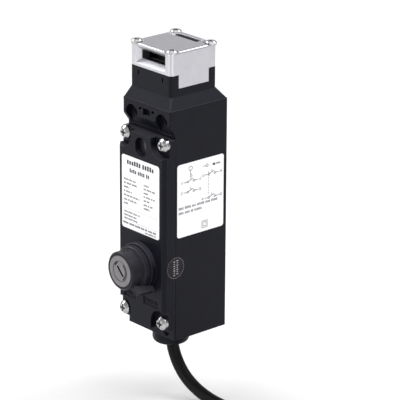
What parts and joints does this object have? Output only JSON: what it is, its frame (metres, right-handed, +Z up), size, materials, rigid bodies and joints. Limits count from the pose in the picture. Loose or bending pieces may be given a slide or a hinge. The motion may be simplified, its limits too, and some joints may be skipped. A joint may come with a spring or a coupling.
{
  "type": "tongue interlock switch",
  "caption": "Slim guard-locking safety switch: black moulded case, metal tongue head with front and top slots, keyed release knob on the cover, moulded cable leaving a round gland.",
  "frame": {"origin": "on the flat back face of the case, on its centre line, midway between the four mounting holes", "axes": "+Y out of the back face towards the machine frame, +Z up to the tongue head, +X to the right seen from the front"},
  "size_m": [0.1488, 0.0813, 0.1811],
  "materials": {
    "case_plastic": "glass-filled polyester, fine spark texture",
    "seal_rubber": "soft matt rubber",
    "zinc_steel": "zinc-plated steel",
    "smoked_lens": "smoked polycarbonate",
    "head_metal": "nickel-plated zinc die-cast, satin",
    "inner_plastic": "moulded nylon",
    "bright_steel": "ground steel",
    "sintered_steel": "sintered steel",
    "spring_steel": "drawn spring wire",
    "carrier_plastic": "natural polyester",
    "contact_brass": "brass with silver tips",
    "board_green": "solder resist",
    "lamp_resin": "clear tinted epoxy",
    "yoke_steel": "zinc-plated sheet steel",
    "bobbin_nylon": "natural nylon",
    "winding_copper": "enamelled copper wire",
    "knob_plastic": "moulded nylon, satin",
    "satin_metal": "satin nickel",
    "cable_jacket": "matt PVC sheath",
    "tie_nylon": "black nylon",
    "core_pvc": "coloured PVC core insulation",
    "label_film": "white polyester film, semi-gloss",
    "seal_film": "dark destructible film"
  },
  "bodies": {
    "switch_body": {"main_case": "case_plastic", "front_cover": "case_plastic", "cover_seal": "seal_rubber", "cover_screws": "zinc_steel", "indicator_lens": "smoked_lens", "head_housing": "head_metal", "head_screws": "zinc_steel", "cam_carrier": "inner_plastic", "cam_axle": "bright_steel", "return_spring": "spring_steel", "contact_block": "inner_plastic", "fixed_contacts": "contact_brass", "circuit_board": "board_green", "indicator_lamp": "lamp_resin", "solenoid_yoke": "yoke_steel", "solenoid_bobbin": "bobbin_nylon", "solenoid_winding": "winding_copper", "plunger_spring": "spring_steel", "lock_bracket": "yoke_steel", "lever_pin": "bright_steel", "cable_gland": "case_plastic", "cable_seal": "seal_rubber", "gland_nut": "inner_plastic", "cable": "cable_jacket", "cable_coil": "cable_jacket", "cable_tail": "cable_jacket", "cable_ties": "tie_nylon", "cable_cores": "core_pvc", "front_label": "label_film", "side_label": "label_film", "tamper_seal": "seal_film"},
    "release_knob": {"release_knob": "knob_plastic", "lock_face": "satin_metal", "key_plug": "satin_metal", "knob_shaft": "bright_steel", "release_cam": "sintered_steel", "retaining_ring": "spring_steel"},
    "lock_slider": {"lock_slider": "yoke_steel", "solenoid_plunger": "bright_steel"},
    "lock_lever": {"lock_lever": "sintered_steel"},
    "actuating_cam": {"actuating_cam": "sintered_steel"},
    "operating_rod": {"operating_rod": "bright_steel", "contact_carrier": "carrier_plastic", "contact_bridges": "contact_brass"}
  },
  "joints": [
    {"name": "release_turn", "type": "hinge", "parent": "switch_body", "child": "release_knob", "pos_m": [0, -0.047, -0.0204], "axis": [0, 1, 0], "range_deg": [0, 90]},
    {"name": "lock_slide", "type": "slide", "parent": "switch_body", "child": "lock_slider", "axis": [0, 0, -1], "range_m": [0, 0.0035], "deforming": ["plunger_spring"]},
    {"name": "lever_turn", "type": "hinge", "parent": "switch_body", "child": "lock_lever", "pos_m": [0, -0.0245, -0.0005], "axis": [1, 0, 0], "range_deg": [0, 33.4]},
    {"name": "cam_turn", "type": "hinge", "parent": "switch_body", "child": "actuating_cam", "pos_m": [0, -0.0185, 0.079], "axis": [-1, 0, 0], "range_deg": [0, 60], "stiffness_Nm_per_rad": 0.02},
    {"name": "rod_slide", "type": "slide", "parent": "switch_body", "child": "operating_rod", "axis": [0, 0, 1], "range_m": [0, 0.003], "deforming": ["return_spring"]}
  ],
  "couplings": [
    {"joint": "lock_slide", "follows": "release_turn", "m_per_rad": 0.002228},
    {"joint": "lever_turn", "follows": "release_turn", "ratio": 0.3711},
    {"joint": "rod_slide", "follows": "cam_turn", "m_per_rad": 0.002864}
  ]
}
